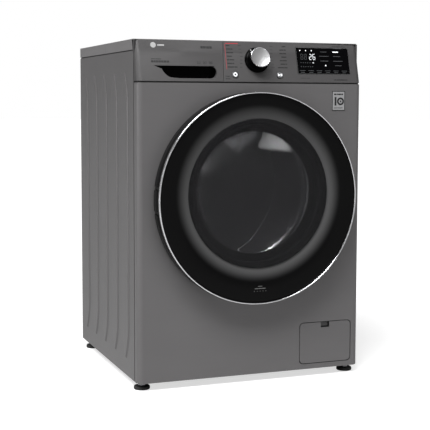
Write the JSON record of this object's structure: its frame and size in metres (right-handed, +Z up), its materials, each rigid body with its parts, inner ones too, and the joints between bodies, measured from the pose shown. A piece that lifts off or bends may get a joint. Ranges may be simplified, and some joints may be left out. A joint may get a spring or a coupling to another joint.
{
  "type": "front load washing machine",
  "caption": "Front loading washing machine: graphite cabinet, round glass door, drum hung in a sprung tub, detergent drawer, programme knob, filter cover and levelling feet.",
  "frame": {"origin": "on the floor, under the middle of the machine's footprint", "axes": "+Z up, the door faces -Y, +X to the right as seen from the front"},
  "size_m": [0.6, 0.612, 0.85],
  "materials": {
    "graphite_steel": "dark graphite steel with very fine horizontal brushing under a satin lacquer",
    "graphite_side": "satin graphite painted steel sheet with pressed ribs",
    "graphite_plastic": "graphite metallic moulded plastic, satin, finely brushed to match the front panel",
    "top_plastic": "graphite moulded and laminated lid, satin",
    "black_gloss": "deep black high gloss moulding",
    "black_plastic": "black moulded plastic, lightly textured",
    "chrome": "bright chrome trim",
    "spun_metal": "spun satin metal with a bright edge",
    "display": "black gloss display window with white segments behind it",
    "steel": "plain bright steel",
    "black_steel": "steel with a black coating",
    "drum_steel": "stainless steel, perforated and polished",
    "galvanised": "zinc coated steel sheet",
    "white_plastic": "light grey moulded plastic",
    "tub_plastic": "grey glass filled moulding",
    "concrete": null,
    "grey_rubber": "grey moulded rubber",
    "black_rubber": "black rubber",
    "smoked_glass": "smoked glossy window",
    "clear_glass": "clear pressed glass",
    "copper": "enamelled copper windings on a laminated steel core"
  },
  "bodies": {
    "cabinet": {"left_side_panel": "graphite_side", "right_side_panel": "graphite_side", "rear_panel": "galvanised", "rear_service_cover": "galvanised", "top_panel": "top_plastic", "base_pan": "black_plastic", "front_panel": "graphite_steel", "control_panel": "graphite_plastic", "display_window": "display", "dispenser_housing": "white_plastic", "door_hinge_bracket": "black_steel", "door_hinge_pin": "black_steel", "door_lock": "white_plastic", "door_gasket": "grey_rubber", "motor_controller": "black_plastic", "inlet_valve": "white_plastic", "drain_outlet": "black_plastic", "cord_gland": "black_plastic", "suspension_spring_left": "steel", "suspension_spring_right": "steel", "damper_body_left": "black_plastic", "damper_body_right": "black_plastic", "drain_pump_housing": "black_plastic", "sump_hose": "black_rubber"},
    "tub": {"tub_front_half": "tub_plastic", "tub_rear_half": "tub_plastic", "upper_counterweight": "concrete", "front_counterweight": "concrete", "stator": "copper", "heater": "steel", "front_bearing": "steel", "rear_bearing": "steel", "damper_rod_left": "steel", "damper_rod_right": "steel"},
    "drum": {"drum_shell": "drum_steel", "drum_spider": "galvanised", "drum_shaft": "steel", "rotor": "galvanised", "drum_lifter_1": "white_plastic", "drum_lifter_2": "white_plastic", "drum_lifter_3": "white_plastic"},
    "door": {"door_frame": "black_gloss", "door_trim_ring": "chrome", "door_window": "smoked_glass", "door_glass_bowl": "clear_glass", "door_inner_frame": "black_plastic"},
    "door_hook": {"door_hook": "steel"},
    "drawer": {"drawer_front": "graphite_plastic", "drawer_tray": "white_plastic"},
    "knob": {"knob_skirt": "black_gloss", "knob_cap": "spun_metal"},
    "power_button": {"power_button": "spun_metal"},
    "start_button": {"start_button": "spun_metal"},
    "filter_door": {"filter_door": "graphite_steel"},
    "pump_filter": {"pump_filter": "white_plastic"},
    "pump_impeller": {"pump_impeller": "white_plastic"},
    "foot_front_left": {"foot_front_left": "black_rubber"},
    "foot_front_right": {"foot_front_right": "black_rubber"},
    "foot_rear_left": {"foot_rear_left": "black_rubber"},
    "foot_rear_right": {"foot_rear_right": "black_rubber"}
  },
  "joints": [
    {"name": "tub_travel", "type": "slide", "parent": "cabinet", "child": "tub", "axis": [0, 0, 1], "range_m": [-0.012, 0.012], "stiffness_N_per_m": 14000, "springref_m": 0.0228, "deforming": ["suspension_spring_left", "suspension_spring_right", "sump_hose", "door_gasket"]},
    {"name": "drum_spin", "type": "hinge", "parent": "tub", "child": "drum", "pos_m": [0, -0.004, 0.478], "axis": [0, 1, 0], "continuous": true},
    {"name": "door_swing", "type": "hinge", "parent": "cabinet", "child": "door", "pos_m": [-0.25, -0.284, 0.466], "axis": [0, 0, -1], "range_deg": [0, 130]},
    {"name": "hook_release", "type": "hinge", "parent": "door", "child": "door_hook", "pos_m": [0.2115, -0.266, 0.466], "axis": [0, 0, 1], "range_deg": [0, 12], "stiffness_Nm_per_rad": 0.1},
    {"name": "drawer_pull", "type": "slide", "parent": "cabinet", "child": "drawer", "axis": [0, -1, 0], "range_m": [0, 0.2]},
    {"name": "knob_turn", "type": "hinge", "parent": "cabinet", "child": "knob", "pos_m": [0.014, -0.23921, 0.803], "axis": [0, -0.9651, 0.2619], "continuous": true},
    {"name": "power_press", "type": "slide", "parent": "cabinet", "child": "power_button", "axis": [0, 0.9651, -0.2619], "range_m": [0, 0.001], "stiffness_N_per_m": 400},
    {"name": "start_press", "type": "slide", "parent": "cabinet", "child": "start_button", "axis": [0, 0.9651, -0.2619], "range_m": [0, 0.001], "stiffness_N_per_m": 400},
    {"name": "filter_door_swing", "type": "hinge", "parent": "cabinet", "child": "filter_door", "pos_m": [0.2075, -0.254, 0.0341], "axis": [1, 0, 0], "range_deg": [0, 85]},
    {"name": "filter_turn", "type": "hinge", "parent": "cabinet", "child": "pump_filter", "pos_m": [0.2075, -0.234, 0.08], "axis": [0, -1, 0], "range_deg": [0, 90]},
    {"name": "impeller_spin", "type": "hinge", "parent": "cabinet", "child": "pump_impeller", "pos_m": [0.2075, -0.148, 0.08], "axis": [0, 1, 0], "continuous": true},
    {"name": "foot_front_left_adjust", "type": "slide", "parent": "cabinet", "child": "foot_front_left", "axis": [0, 0, -1], "range_m": [0, 0.012]},
    {"name": "foot_front_right_adjust", "type": "slide", "parent": "cabinet", "child": "foot_front_right", "axis": [0, 0, -1], "range_m": [0, 0.012]},
    {"name": "foot_rear_left_adjust", "type": "slide", "parent": "cabinet", "child": "foot_rear_left", "axis": [0, 0, -1], "range_m": [0, 0.012]},
    {"name": "foot_rear_right_adjust", "type": "slide", "parent": "cabinet", "child": "foot_rear_right", "axis": [0, 0, -1], "range_m": [0, 0.012]}
  ]
}
